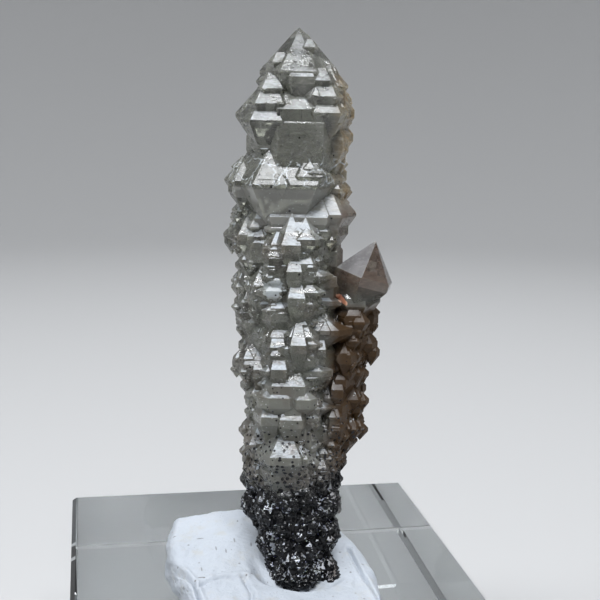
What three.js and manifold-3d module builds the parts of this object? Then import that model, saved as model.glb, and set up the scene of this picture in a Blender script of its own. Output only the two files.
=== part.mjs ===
// A quartz column of stacked, parallel crystal heads, pressed upright into a lump of display putty
// on a clear acrylic block. Millimetres, +Z up, origin at the centre of the block's underside.
import * as THREE from "three";
import { mergeVertices } from "three/addons/utils/BufferGeometryUtils.js";
import Module from "manifold-3d";

const wasm = await Module();
wasm.setup();

// Driving dimensions of the stand
const BLOCK_SIDE = 51; // a two-inch block
const BLOCK_HEIGHT = 25;
const BLOCK_EDGE = 0.6; // polished edge
const PUTTY_UNDER = 1.3; // putty left under the crystal's foot
const FOOT_DEPTH = -0.9; // how far the foot goes into the putty
const FIT_GAP = 0.3; // clearance between the crystal and its socket

// Where the specimen stands on the block, and how far it is turned
const SPECIMEN_X = 2.3;
const SPECIMEN_Y = -10;
const SPECIMEN_TURN = THREE.MathUtils.degToRad(-10.4);

// Crystal form. Each kind of face leans by one angle on every head, as in parallel growth.
const CAP_LEAN = THREE.MathUtils.degToRad(37.5); // upward lean of a pyramid face's normal
const FOOT_LEAN = THREE.MathUtils.degToRad(31); // downward lean of the faces under a ledge
const SIDES = 6;
const SIXTH = Math.PI / 3;
const CORNER = Math.cos(Math.PI / 6); // a hexagon's face distance over its corner distance
const UNEVEN = 0.05; // how far a face may stand nearer or further than its neighbours
const UNEVEN_LEDGE = 0.15; // the same on the small ledge crystals

// The column's tiers from the tip down: girdle height, left, right, front and back reach,
// and the height of the upright faces. Heights are above the crystal's foot.
const COLUMN = [
  [62.1, -5.2, 4.0, 3.8, 3.8, 0.4],
  [57.2, -5.6, 5.2, 4.4, 4.8, 1.6],
  [54.2, -5.9, 5.2, 4.35, 5.0, 4.8],
  [49.7, -8.7, 5.2, 5.8, 5.4, 0.3],
  [45.6, -6.6, 5.6, 3.9, 5.6, 0.8],
  [42.0, -6.6, 4.6, 4.9, 5.4, 1.8],
  [38.4, -6.6, 4.4, 5.2, 5.6, 2.0],
  [34.6, -6.6, 4.6, 5.2, 5.6, 2.0],
  [31.0, -6.4, 4.8, 5.4, 5.6, 1.8],
  [27.4, -6.4, 4.8, 5.4, 5.6, 1.8],
  [23.4, -6.0, 4.6, 5.4, 5.6, 2.0],
  [19.6, -6.0, 4.7, 5.4, 5.4, 1.8],
  [16.0, -6.2, 4.7, 5.2, 5.2, 1.8],
  [12.4, -5.2, 4.6, 4.9, 5.2, 1.8],
  [8.8, -4.8, 4.5, 4.6, 5.4, 1.8],
  [5.2, -4.3, 4.6, 4.4, 5.2, 1.8],
  [1.6, -4.5, 5.0, 4.6, 5.0, 1.2],
];

// The shorter column grown along the right side
const BRANCH = [
  [35.8, 3.4, 9.6, 3.8, 3.6, 1.0],
  [32.2, 2.6, 8.9, 3.6, 4.2, 1.6],
  [29.0, 2.4, 8.6, 3.6, 4.4, 1.2],
  [25.8, 2.2, 7.9, 3.8, 4.4, 0.9],
  [22.6, 2.2, 7.5, 3.8, 4.4, 0.9],
  [19.4, 2.0, 7.3, 3.6, 4.2, 0.9],
  [15.8, 1.8, 6.0, 3.4, 4.0, 0.9],
  [12.4, 1.4, 5.2, 3.0, 4.0, 0.9],
];
const BRANCH_BACK = 0.8; // how far the branch stands behind the column's middle

// Single heads that shape the outline: x, y, girdle height, reach, height of the upright faces
const OUTLINE_HEADS = [
  [-3.0, -0.6, 61.0, 2.5, 0.3],
  [-3.7, -0.4, 57.2, 4.1, 0.5],
  [2.6, -0.6, 60.6, 2.5, 0.3],
  [3.0, -0.4, 57.5, 2.9, 0.9],
  [3.3, 0.3, 54.7, 2.6, 0.8],
  [2.8, 0.2, 51.7, 2.5, 0.3],
  [-4.9, 0.8, 52.3, 1.6, 0.2],
  [-5.5, 0.2, 49.6, 3.6, 0.4],
  [3.0, 0.4, 48.6, 2.6, 0.5],
  [2.9, -0.6, 45.9, 3.5, 0.3],
  [-6.6, 0.4, 46.0, 1.7, 0.2],
  [-5.7, 0.0, 43.1, 3.3, 0.8],
  [-5.6, 0.2, 38.0, 2.3, 0.6],
  [-5.7, -0.4, 35.2, 2.1, 0.6],
  [-5.5, 0.3, 32.6, 2.1, 0.7],
  [-5.0, -0.6, 27.7, 3.1, 0.5],
  [-4.6, 0.6, 22.9, 2.0, 0.5],
  [-4.9, 0.2, 19.7, 1.9, 0.4],
  [-5.1, 0.4, 16.3, 1.8, 0.3],
  [-4.6, 3.0, 11.6, 2.5, 0.6],
  [-4.2, 3.2, 8.4, 2.7, 0.8],
  [-2.4, 2.8, 4.8, 2.2, 0.8],
  [8.1, 1.0, 33.0, 1.4, 0.9],
  [8.0, 0.8, 30.0, 1.5, 0.6],
  [6.6, 0.6, 26.4, 1.7, 0.4],
  [6.4, 0.4, 23.2, 1.7, 0.3],
  [6.1, 0.8, 19.8, 1.7, 0.3],
  [4.3, -1.6, 0.6, 1.8, 0.8],
];

// Ledges that stand out on the front: the two ribs below the tip, and the long rib under them
const FRONT_HEADS = [
  [0.6, -1.2, 64.9, 1.1, 0.1],
  [-2.7, -1.5, 63.2, 1.4, 0.1],
  [-3.5, -2.4, 60.3, 1.8, 0.1],
  [-3.9, -2.4, 58.6, 2.4, 0.1],
  [-4.2, -2.1, 56.7, 3.0, 0.3],
  [1.9, -2.7, 61.2, 1.7, 0.1],
  [2.3, -2.8, 59.5, 2.2, 0.1],
  [2.7, -2.6, 57.6, 2.5, 0.3],
  [0.8, -3.7, 50.6, 2.2, 0.1],
  [-3.4, -3.4, 50.2, 2.4, 0.1],
  [-0.4, -4.0, 43.6, 2.0, 0.3],
  [-2.6, -4.1, 41.0, 1.7, 0.4],
  [0.1, -4.4, 40.4, 1.9, 0.6],
  [0.2, -4.6, 37.0, 2.0, 0.6],
  [0.2, -4.6, 32.0, 2.1, 0.5],
  [-2.0, -4.5, 29.6, 2.0, 0.4],
  [-1.2, -4.3, 26.2, 2.9, 0.5],
  [-2.6, -4.2, 23.6, 1.7, 0.4],
  [0.4, -4.3, 23.6, 2.0, 0.5],
  [-0.9, -4.1, 18.2, 2.6, 0.6],
  [-0.4, -3.9, 15.2, 2.2, 0.5],
];

const FRONT_FLATNESS = 0.6; // depth of a front ledge over its reach
const FRONT_DROP = 1.5; // how much further down the upright faces of the lower ledges reach
const FRONT_DROP_BELOW = 45; // the height under which they do

// The crystal that leans out at the head of the branch
const SIDE_CRYSTAL = {
  x: 7.5,
  y: -0.6,
  z: 38.3,
  reach: 3.8,
  upright: 1,
  tilt: THREE.MathUtils.degToRad(17),
  turn: THREE.MathUtils.degToRad(20),
};

// Ledge crystals stand in vertical rows round each column, with the size and spacing of a row's
// heads between two limits
const COLUMN_ROWS = 6;
const BRANCH_ROWS = 3;
const LEDGE_REACH = [1.4, 2.7];
const LEDGE_STEP = [3.6, 5.4];
const LEDGE_UPRIGHT = [0.6, 2.4];
const LEDGE_FLATNESS = [0.8, 1]; // its depth over its reach
const LEDGE_START = [1, 4]; // how far below the topmost tier a row begins
const LEDGE_SUNK = 0.64; // share of its reach that a ledge crystal sits inside the column
const ROW_SWAY = 0.3; // how far a row strays from straight, in radians

// Stretches left smooth: x, height and half the width and height of a face with no ledges on it
const SMOOTH_FACES = [
  [-1.5, 47.4, 5.2, 2.2],
  [-0.6, 54.0, 1.8, 5.6],
  [5.6, 24.4, 1.8, 2.4],
  [-3.2, 33.4, 2.0, 1.2],
];

// The putty lump, in the specimen's own directions: where its sides end at the front and the back,
// and how high its top is at its corners
const PUTTY_FRONT = { y: -11.5, left: -13, right: 12.4, leftTop: 0.6, rightTop: -0.3 };
const PUTTY_BACK = { y: 8.5, left: -18, right: 7.6, leftTop: 5.2, rightTop: 3.2 };
const PUTTY_CROWN = 1.6; // how much its top swells towards the back
const PUTTY_CORNERS = 0.4; // 0 leaves its corners square, 1 rounds its outline to an oval
const PUTTY_SHOULDER = 0.03; // how far its upper rim draws in
const PUTTY_WAVE = 0.02; // unevenness of its outline
const PUTTY_CELLS = [12, 9, 3]; // grid over its width, depth and height

// A repeatable scatter: the same run of numbers every time
let scatterState = 20;
function scatter(low, high) {
  scatterState = (scatterState * 16807) % 2147483647;
  return low + ((high - low) * scatterState) / 2147483647;
}

// A closed geometry as a solid that can be joined and cut
function solidOf(geometry) {
  const bare = new THREE.BufferGeometry();
  bare.setAttribute("position", geometry.getAttribute("position"));
  bare.setIndex(geometry.index);
  const merged = mergeVertices(bare, 1e-4);
  return new wasm.Manifold(
    new wasm.Mesh({
      numProp: 3,
      vertProperties: new Float32Array(merged.attributes.position.array),
      triVerts: new Uint32Array(merged.index.array),
    }),
  );
}

// A solid's vertices and triangles as a geometry
function geometryOf(solid) {
  const mesh = solid.getMesh();
  const geometry = new THREE.BufferGeometry();
  geometry.setAttribute("position", new THREE.BufferAttribute(mesh.vertProperties, 3));
  geometry.setIndex(new THREE.BufferAttribute(mesh.triVerts, 1));
  geometry.computeVertexNormals();
  return geometry;
}

// The faces of one crystal head: six upright, six cap faces above them and six undercut below,
// each at a slightly different distance, as grown ones are
function headFaces({ x, y, z, wide, deep, upright, placing, uneven = UNEVEN }) {
  const centre = new THREE.Vector3(x, y, z);
  const faces = [];
  for (let side = 0; side < SIDES; side++) {
    const azimuth = -Math.PI / 2 + side * SIXTH;
    const out = new THREE.Vector3(Math.cos(azimuth), Math.sin(azimuth), 0);
    const span = side % 3 === 0 ? deep : wide * CORNER;
    const reach = span * (1 + scatter(-uneven, uneven));
    const lips = [
      [0, 0],
      [CAP_LEAN, upright / 2 + scatter(-uneven, uneven) * span],
      [-FOOT_LEAN, -upright / 2 + scatter(-uneven, uneven) * span],
    ];
    for (const [lean, lip] of lips) {
      const normal = out.clone().multiplyScalar(Math.cos(lean)).setZ(Math.sin(lean));
      const point = out.clone().multiplyScalar(reach).setZ(lip);
      if (placing) {
        normal.applyQuaternion(placing);
        point.applyQuaternion(placing);
      }
      faces.push({ normal, point: point.add(centre) });
    }
  }
  return faces;
}

// A head as a solid: a block cut by its faces, each moved outward by the growth
function headSolid({ x, y, z, wide, deep, upright, faces }, growth = 0) {
  const side = 4 * (Math.max(wide, deep) + growth) + upright;
  let solid = solidOf(new THREE.BoxGeometry(side, side, side).translate(x, y, z));
  for (const { normal, point } of faces) {
    const moved = point.clone().addScaledVector(normal, growth);
    solid = solid.trimByPlane([-normal.x, -normal.y, -normal.z], -normal.dot(moved));
  }
  return solid;
}

// A tier's row as a head that spans its left, right, front and back reach
function tierHead([z, left, right, front, back, upright], middle = 0) {
  return {
    x: (left + right) / 2,
    y: middle + (back - front) / 2,
    z,
    wide: (right - left) / 2,
    deep: (front + back) / 2,
    upright,
  };
}

// The reach of a stack of tiers at a height, and its middle, between the rows above and below
function tierAt(tiers, z) {
  const below = tiers.findIndex((tier) => tier[0] <= z);
  if (below <= 0) return tiers[below === 0 ? 0 : tiers.length - 1];
  const [low, high] = [tiers[below], tiers[below - 1]];
  const share = (z - low[0]) / (high[0] - low[0]);
  return low.map((value, i) => THREE.MathUtils.lerp(value, high[i], share));
}

const isSmooth = (x, y, z) =>
  y < 0 && SMOOTH_FACES.some(([fx, fz, w, h]) => Math.abs(x - fx) < w && Math.abs(z - fz) < h);

// Rows of small parallel heads up a stack of tiers, each sunk part way into it
function ledgeRows(tiers, rows, middle) {
  const top = tiers[0][0];
  const bottom = tiers[tiers.length - 1][0];
  const heads = [];
  for (let row = 0; row < rows; row++) {
    const azimuth = -Math.PI / 2 + (row * 2 * Math.PI) / rows;
    for (let z = top - scatter(...LEDGE_START); z > bottom + 1; z -= scatter(...LEDGE_STEP)) {
      const [, left, right, front, back] = tierAt(tiers, z);
      const wide = scatter(...LEDGE_REACH);
      const deep = wide * scatter(...LEDGE_FLATNESS);
      const upright = scatter(...LEDGE_UPRIGHT);
      const swing = azimuth + scatter(-ROW_SWAY, ROW_SWAY);
      const across = (right - left) / 2 - wide * LEDGE_SUNK;
      const along = (front + back) / 2 - wide * LEDGE_SUNK;
      const x = (left + right) / 2 + Math.cos(swing) * across;
      const y = middle + (back - front) / 2 + Math.sin(swing) * along;
      if (isSmooth(x, y, z)) continue;
      heads.push({ x, y, z, wide, deep, upright, uneven: UNEVEN_LEDGE });
    }
  }
  return heads;
}

// The crystal that leans out to the right
function leaningHead({ x, y, z, reach, upright, tilt, turn }) {
  const lean = new THREE.Quaternion().setFromAxisAngle(new THREE.Vector3(0, 1, 0), tilt);
  const twist = new THREE.Quaternion().setFromAxisAngle(new THREE.Vector3(0, 0, 1), turn);
  return { x, y, z, wide: reach, deep: reach * CORNER, upright, placing: lean.multiply(twist) };
}

// A head of the outline, as deep as it is wide
function outlineHead([x, y, z, wide, upright]) {
  return { x, y, z, wide, deep: wide * CORNER, upright };
}

// A ledge of the front: flatter, with its front edge where an even head's would be
function frontLedge([x, y, z, wide, upright]) {
  const deep = wide * FRONT_FLATNESS;
  const drop = z < FRONT_DROP_BELOW ? FRONT_DROP : 0;
  return { x, y: y - wide * CORNER + deep, z: z - drop / 2, wide, deep, upright: upright + drop };
}

// Every head of the crystal, in the specimen's own directions
function crystalHeads() {
  const heads = [
    ...COLUMN.map((tier) => tierHead(tier)),
    ...BRANCH.map((tier) => tierHead(tier, BRANCH_BACK)),
    leaningHead(SIDE_CRYSTAL),
    ...OUTLINE_HEADS.map(outlineHead),
    ...FRONT_HEADS.map(frontLedge),
    ...ledgeRows(COLUMN, COLUMN_ROWS, 0),
    ...ledgeRows(BRANCH, BRANCH_ROWS, BRANCH_BACK),
  ];
  return heads.map((head) => ({ ...head, faces: headFaces(head) }));
}

// The putty: a box's grid of points pressed into a lump with rounded, wavy sides and a sloping top
function puttyLump() {
  const lump = new THREE.BoxGeometry(2, 2, 1, ...PUTTY_CELLS).translate(0, 0, 0.5);
  const points = lump.getAttribute("position");
  const blend = (key, share) => THREE.MathUtils.lerp(PUTTY_FRONT[key], PUTTY_BACK[key], share);
  for (let i = 0; i < points.count; i++) {
    const [u, v, rise] = [points.getX(i), points.getY(i), points.getZ(i)];
    const edge = Math.max(Math.abs(u), Math.abs(v));
    const oval = edge / Math.max(Math.hypot(u, v), 1e-6);
    const swing = Math.atan2(v, u);
    const wave = 1 + PUTTY_WAVE * (Math.sin(3 * swing + 0.6) + Math.sin(5 * swing));
    const drawIn = 1 - rise * PUTTY_SHOULDER * Math.pow(edge, 6);
    const shape = THREE.MathUtils.lerp(1, oval, PUTTY_CORNERS) * wave * drawIn;
    const right = (1 + u * shape) / 2;
    const back = (1 + v * shape) / 2;
    const slope = THREE.MathUtils.lerp(blend("leftTop", back), blend("rightTop", back), right);
    const top = slope + PUTTY_CROWN * back * (1 - (2 * right - 1) ** 2);
    points.setXYZ(
      i,
      THREE.MathUtils.lerp(blend("left", back), blend("right", back), right),
      blend("y", back),
      -PUTTY_UNDER + rise * (top + PUTTY_UNDER),
    );
  }
  return solidOf(lump);
}

// The block: a square pushed up with its edges chamfered all round
function blockGeometry() {
  const half = BLOCK_SIDE / 2 - BLOCK_EDGE;
  const square = new THREE.Shape([
    new THREE.Vector2(-half, -half),
    new THREE.Vector2(half, -half),
    new THREE.Vector2(half, half),
    new THREE.Vector2(-half, half),
  ]);
  const block = new THREE.ExtrudeGeometry(square, {
    depth: BLOCK_HEIGHT - 2 * BLOCK_EDGE,
    bevelSize: BLOCK_EDGE,
    bevelThickness: BLOCK_EDGE,
    bevelSegments: 1,
  });
  return block.translate(0, 0, BLOCK_EDGE);
}

// The largest solid of a union: it leaves out sealed pockets between heads
function wholeOf(solids) {
  return wasm.Manifold.union(solids)
    .decompose()
    .reduce((largest, solid) => (solid.volume() > largest.volume() ? solid : largest));
}

function crystalSolid(heads) {
  return wholeOf(heads.map((head) => headSolid(head))).trimByPlane([0, 0, 1], FOOT_DEPTH);
}

// The hollow that the crystal's foot has pressed into the putty
function socketSolid(heads) {
  const puttyTop = PUTTY_BACK.leftTop + PUTTY_CROWN;
  const sunk = heads.filter(({ z, wide }) => z - wide < puttyTop);
  return wholeOf(sunk.map((head) => headSolid(head, FIT_GAP)))
    .trimByPlane([0, 0, 1], FOOT_DEPTH - FIT_GAP);
}

// A solid moved from the specimen's own directions to its place on the block
function onBlock(solid) {
  const place = new THREE.Matrix4()
    .makeTranslation(SPECIMEN_X, SPECIMEN_Y, BLOCK_HEIGHT + PUTTY_UNDER)
    .multiply(new THREE.Matrix4().makeRotationZ(SPECIMEN_TURN));
  return solid.transform(place.elements);
}

function piece(name, geometry, color, roughness) {
  const material = new THREE.MeshStandardMaterial({ color, roughness, metalness: 0 });
  const mesh = new THREE.Mesh(geometry, material);
  mesh.name = name;
  return mesh;
}

const heads = crystalHeads();
const crystal = onBlock(crystalSolid(heads));
const putty = onBlock(puttyLump().subtract(socketSolid(heads)));
const flatPutty = putty.trimByPlane([0, 0, 1], BLOCK_HEIGHT);

const specimen = new THREE.Group();
specimen.add(
  piece("quartz", geometryOf(crystal), 0x6e6f68, 0.15),
  piece("putty", geometryOf(flatPutty), 0xd4dfec, 0.55),
  piece("block", blockGeometry(), 0xe8ecec, 0.05),
);
export default specimen;
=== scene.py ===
"""Looks of a stacked quartz column that stands in putty on a clear block."""

import math

import bmesh
import bpy
import numpy as np
from mathutils import Matrix, Vector
from mathutils.bvhtree import BVHTree


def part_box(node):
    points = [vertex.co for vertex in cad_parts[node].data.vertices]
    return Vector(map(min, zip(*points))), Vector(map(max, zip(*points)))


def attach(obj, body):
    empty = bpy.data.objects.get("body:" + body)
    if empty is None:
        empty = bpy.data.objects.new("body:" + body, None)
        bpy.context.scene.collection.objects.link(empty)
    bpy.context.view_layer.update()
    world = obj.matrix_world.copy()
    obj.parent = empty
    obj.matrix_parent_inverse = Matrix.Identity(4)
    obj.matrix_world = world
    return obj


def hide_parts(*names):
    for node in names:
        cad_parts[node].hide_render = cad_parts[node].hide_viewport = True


bl_info = {
    "name": "Quartz specimen",
    "version": (1, 0, 0),
    "blender": (4, 5, 0),
    "location": "View3D > Sidebar > Specimen",
    "description": "Crystal column of parallel heads in putty on a clear display block",
    "category": "Object",
}

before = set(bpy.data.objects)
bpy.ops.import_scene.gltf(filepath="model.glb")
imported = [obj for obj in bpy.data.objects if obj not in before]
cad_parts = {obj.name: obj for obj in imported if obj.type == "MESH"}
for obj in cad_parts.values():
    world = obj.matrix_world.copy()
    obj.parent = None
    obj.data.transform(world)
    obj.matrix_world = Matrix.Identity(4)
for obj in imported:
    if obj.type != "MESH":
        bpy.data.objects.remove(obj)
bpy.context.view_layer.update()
MM = 0.001

# Where the specimen stands: the middle of the crystal's foot, and its turn about the vertical
BLOCK_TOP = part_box("block")[1].z
PUTTY_UNDER = 1.3 * MM
FOOT = np.array([2.3 * MM, -10 * MM, BLOCK_TOP + PUTTY_UNDER])
TURN = math.radians(-10.4)

# The camera in the specimen's own directions: how far back and how high above the foot it stands,
# how far down it looks, its roll, and its lens and sensor in mm
CAMERA_BACK = 138.2 * MM
CAMERA_HEIGHT = 62.6 * MM
CAMERA_DOWN = math.radians(11.15)
CAMERA_ROLL = math.radians(1)
CAMERA_LENS = 70.6
CAMERA_SENSOR = 36

# Crystal form: the lean of cap faces and of the undercut faces below them
CAP_LEAN = math.radians(37.5)
UNDER_LEAN = math.radians(31)
CORNER = math.cos(math.pi / 6)
SEED = 7

# How the small heads change with height above the foot, in mm
HEIGHTS = (0, 13, 17, 30, 43, 50, 60, 66)
SMALLEST = (0.22, 0.22, 0.28, 0.32, 0.34, 0.34, 0.3, 0.3)
LARGEST = (0.7, 0.8, 0.9, 1.2, 1.3, 1.2, 0.9, 0.5)
PER_SQUARE_MM = (3.2, 2.8, 1.5, 1.0, 0.7, 0.3, 0.15, 0.02)

# The side crystal stays clean: the middle of its axis in plan, its reach and its heights, in mm
SIDE_CRYSTAL = (7.8, -0.6, 4.6)
SIDE_CRYSTAL_HEIGHTS = (33.8, 47)

# Faces left smooth: x and height of the middle, half the width and half the height, in mm
SMOOTH_FACES = (
    (-1.5, 46.9, 5.6, 2.4),
    (-0.6, 54.6, 3.6, 2.8),
    (-0.6, 58.0, 1.7, 3.0),
    (5.6, 24.4, 1.8, 2.4),
    (-3.2, 33.4, 2.0, 1.2),
    (0.0, 65.0, 3.0, 1.6),
    (-1.1, 26.4, 2.5, 1.0),
    (4.2, 29.3, 1.6, 1.4),
)

# Bright ledges on the front: x, height, half the width and how far each stands out, in mm
LEDGES = (
    (-1.1, 42.9, 1.1, 0.65),
    (-0.7, 39.9, 0.85, 0.6),
    (-0.4, 36.9, 1.0, 0.65),
    (-0.1, 31.5, 0.9, 0.95),
    (-2.5, 30.9, 0.9, 0.4),
    (2.4, 30.5, 0.7, 0.45),
    (-2.3, 28.5, 0.9, 0.7),
    (-4.7, 27.6, 0.7, 0.45),
    (4.6, 25.2, 0.7, 0.6),
    (-3.3, 22.7, 1.0, 1.0),
    (-0.8, 22.5, 1.3, 1.0),
    (-1.4, 18.0, 1.8, 0.9),
    (-1.6, 15.6, 1.5, 0.4),
)
LEDGE_ROOT = 3.2
LEDGE_UPRIGHT = 1.0

# Small heads on the front are stretched sideways in a strip of this middle and half width, in mm.
# A share of them is broad. Sizes across are in mm, and the others are multiples of the size across.
STRIP_MIDDLE = -0.6
STRIP_HALF = 3.8
BROAD_SHARE = 0.1
BROAD_SIZES = (0.6, 1.05)
BROAD_STRETCH = (1, 1.6)
FRONT_STRETCH = (1.2, 2.8)
OTHER_STRETCH = (0.9, 1.2)
FRONT_UPRIGHT = (0.1, 1.4)
OTHER_UPRIGHT = (0.1, 0.8)
LOW_UPRIGHT = 0.1
CAP_STEEPNESS = (0.94, 1.05)

# Heights in mm above which the front keeps only a share of its small heads, all upright faces
# are low and no head is stretched, and the height up to which undercuts show more of their heads
THINNED_ABOVE = 18
THINNED_TO = 0.6
LOW_ABOVE = 45
EVEN_ABOVE = 56
UNDERCUTS_BELOW = 46


class QuartzLook(bpy.types.PropertyGroup):
    """Sizes and colours of the crystal"""

    heads: bpy.props.FloatProperty(
        name="Small heads",
        description="How densely small heads cover the column",
        default=1,
        min=0.1,
        max=2,
    )
    sunk: bpy.props.FloatProperty(
        name="Sunk",
        description="Share of its reach that a small head sits inside the column",
        default=0.7,
        min=0,
        max=0.95,
        subtype="FACTOR",
    )
    glass: bpy.props.FloatVectorProperty(
        name="Clear quartz",
        description="Tint of light that passes through",
        default=(0.86, 0.86, 0.79),
        subtype="COLOR",
        min=0,
        max=1,
    )
    cloud: bpy.props.FloatVectorProperty(
        name="Cloudy quartz",
        description="Colour of the milky zones",
        default=(0.115, 0.113, 0.097),
        subtype="COLOR",
        min=0,
        max=1,
    )
    # Pale of the up-facing cap faces: partly etching, partly painted highlight
    frost: bpy.props.FloatVectorProperty(
        name="Frosted caps",
        description="Colour of the etched cap faces",
        default=(0.42, 0.46, 0.5),
        subtype="COLOR",
        min=0,
        max=1,
    )
    # Dark brown of the right side: partly staining, partly painted shade
    iron_and_shade: bpy.props.FloatVectorProperty(
        name="Iron stain",
        description="Brown of the right side",
        default=(0.05, 0.026, 0.009),
        subtype="COLOR",
        min=0,
        max=1,
    )
    amber: bpy.props.FloatVectorProperty(
        name="Amber rim",
        description="Lighter stain of the right side near the top",
        default=(0.23, 0.165, 0.085),
        subtype="COLOR",
        min=0,
        max=1,
    )
    black: bpy.props.FloatVectorProperty(
        name="Black foot",
        description="Colour of the dark crust round the foot",
        default=(0.005, 0.005, 0.006),
        subtype="COLOR",
        min=0,
        max=1,
    )
    black_top: bpy.props.FloatProperty(
        name="Black up to",
        description="Height above the foot where the dark crust ends",
        default=13.5 * MM,
        unit="LENGTH",
    )


class PuttyLook(bpy.types.PropertyGroup):
    """Colours of the putty"""

    colour: bpy.props.FloatVectorProperty(
        name="Putty",
        description="Cool white of the putty",
        default=(0.44, 0.475, 0.52),
        subtype="COLOR",
        min=0,
        max=1,
    )
    dust: bpy.props.FloatVectorProperty(
        name="Dust",
        description="Colour of the specks pressed into it",
        default=(0.12, 0.11, 0.1),
        subtype="COLOR",
        min=0,
        max=1,
    )


class BlockLook(bpy.types.PropertyGroup):
    """Tint of the block and how dull its rubbed patches are"""

    tint: bpy.props.FloatVectorProperty(
        name="Acrylic",
        description="Tint of the clear block",
        default=(0.97, 0.98, 0.98),
        subtype="COLOR",
        min=0,
        max=1,
    )
    rubbed: bpy.props.FloatProperty(
        name="Rubbed",
        description="How dull the rubbed patches are",
        default=0.03,
        min=0,
        max=1,
        subtype="FACTOR",
    )


class StageLook(bpy.types.PropertyGroup):
    """Floor colour and reach"""

    floor: bpy.props.FloatVectorProperty(
        name="Floor",
        description="Pale floor",
        default=(0.5, 0.5, 0.5),
        subtype="COLOR",
        min=0,
        max=1,
    )
    reach: bpy.props.FloatProperty(
        name="Floor radius",
        description="How far the flat floor reaches before it sweeps up",
        default=0.45,
        unit="LENGTH",
    )


class Signal:
    """A number that varies over a surface. Sums and products of signals add Math nodes."""

    def __init__(self, surface, socket):
        self.surface = surface
        self.socket = socket

    def _math(self, operation, *values):
        inputs = dict(enumerate(values))
        return self.surface.node("ShaderNodeMath", {"operation": operation}, inputs)

    def __add__(self, other):
        return self._math("ADD", self, other)

    __radd__ = __add__

    def __sub__(self, other):
        return self._math("SUBTRACT", self, other)

    def __rsub__(self, other):
        return self._math("SUBTRACT", other, self)

    def __mul__(self, other):
        return self._math("MULTIPLY", self, other)

    __rmul__ = __mul__

    def __lt__(self, other):
        return self._math("LESS_THAN", self, other)

    def __gt__(self, other):
        return self._math("GREATER_THAN", self, other)

    def most(self, other):
        """The larger of the two."""
        return self._math("MAXIMUM", self, other)

    def least(self, other):
        """The smaller of the two."""
        return self._math("MINIMUM", self, other)

    def rise(self, low, high):
        """0 below low, 1 above high and a smooth step between; high under low turns it round."""
        return self.surface.node(
            "ShaderNodeMapRange",
            {"interpolation_type": "SMOOTHSTEP"},
            {"Value": self, "From Min": low, "From Max": high},
        )


class Surface:
    """The nodes of one material."""

    def __init__(self, name):
        self.material = bpy.data.materials.new(name)
        self.material.use_nodes = True
        self.tree = self.material.node_tree
        self.tree.nodes.clear()
        self.place = self.node("ShaderNodeTexCoord", output="Object")

    def node(self, kind, settings=None, inputs=None, output=0):
        """A node of a kind, its settings first and then its sockets, as one of its outputs."""
        node = self.tree.nodes.new(kind)
        for name, value in (settings or {}).items():
            setattr(node, name, value)
        for name, value in (inputs or {}).items():
            self._fill(node.inputs[name], value)
        return Signal(self, node.outputs[output]) if node.outputs else None

    def _fill(self, socket, value):
        if isinstance(value, Signal):
            self.tree.links.new(value.socket, socket)
        elif hasattr(socket, "default_value"):
            spread = getattr(socket.default_value, "__len__", None)
            if spread and len(value) < len(socket.default_value):
                value = (*value, 1)
            socket.default_value = value

    def in_mm(self):
        """The object's own coordinates in mm."""
        inputs = {"Vector": self.place, "Scale": (1 / MM, 1 / MM, 1 / MM)}
        return self.node("ShaderNodeMapping", None, inputs)

    def split(self, vector):
        """The three numbers of a vector."""
        inputs = {0: vector}
        return [self.node("ShaderNodeSeparateXYZ", None, inputs, output) for output in range(3)]

    def noise(self, vector, scale, detail=3, roughness=0.5, stretch=(1, 1, 1)):
        """Smooth noise from 0 to 1, stretched along the axes."""
        placed = self.node("ShaderNodeMapping", None, {"Vector": vector, "Scale": stretch})
        inputs = {"Vector": placed, "Scale": scale, "Detail": detail, "Roughness": roughness}
        return self.node("ShaderNodeTexNoise", None, inputs)

    def cells(self, vector, scale, feature="F1"):
        """Distance to the nearest of scattered points."""
        inputs = {"Vector": vector, "Scale": scale}
        return self.node("ShaderNodeTexVoronoi", {"feature": feature}, inputs, "Distance")

    def bits(self, vector, scale, stretch, turn):
        """Distance to scattered points in a stretched and turned space, for slivers and nicks."""
        inputs = {"Vector": vector, "Scale": stretch, "Rotation": (0.3, 0.2, turn)}
        placed = self.node("ShaderNodeMapping", None, inputs)
        return self.cells(placed, scale)

    def blend(self, share, first, second):
        """One colour turning into another."""
        inputs = {0: share, 6: first, 7: second}
        return self.node("ShaderNodeMix", {"data_type": "RGBA"}, inputs, 2)

    def bump(self, height, strength, distance, below=None):
        """A normal from a height."""
        inputs = {"Height": height, "Strength": strength, "Distance": distance}
        if below:
            inputs["Normal"] = below
        return self.node("ShaderNodeBump", None, inputs)

    def body(self, **inputs):
        """A Principled shader; sockets are named with _ for a space."""
        named = {name.replace("_", " "): value for name, value in inputs.items()}
        return self.node("ShaderNodeBsdfPrincipled", None, named)

    def absorption(self, colour, density):
        """What light loses on its way through."""
        return self.node("ShaderNodeVolumeAbsorption", None, {"Color": colour, "Density": density})

    def mix(self, share, first, second):
        """A share of one shader over another."""
        return self.node("ShaderNodeMixShader", None, {0: share, 1: first, 2: second})

    def finish(self, surface, volume=None):
        """Joins the shaders to the output."""
        inputs = {"Surface": surface}
        if volume:
            inputs["Volume"] = volume
        self.node("ShaderNodeOutputMaterial", None, inputs)
        return self.material


def smooth_step(value, low, high):
    """0 below low, 1 above high, 3 t squared - 2 t cubed between."""
    t = np.clip((value - low) / (high - low), 0, 1)
    return t * t * (3 - 2 * t)


def to_specimen(points):
    """Points of the part turned and moved into the specimen's own directions, in mm."""
    moved = (points - FOOT) / MM
    cos, sin = math.cos(-TURN), math.sin(-TURN)
    x = cos * moved[:, 0] - sin * moved[:, 1]
    y = sin * moved[:, 0] + cos * moved[:, 1]
    return np.stack([x, y, moved[:, 2]], 1)


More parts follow.
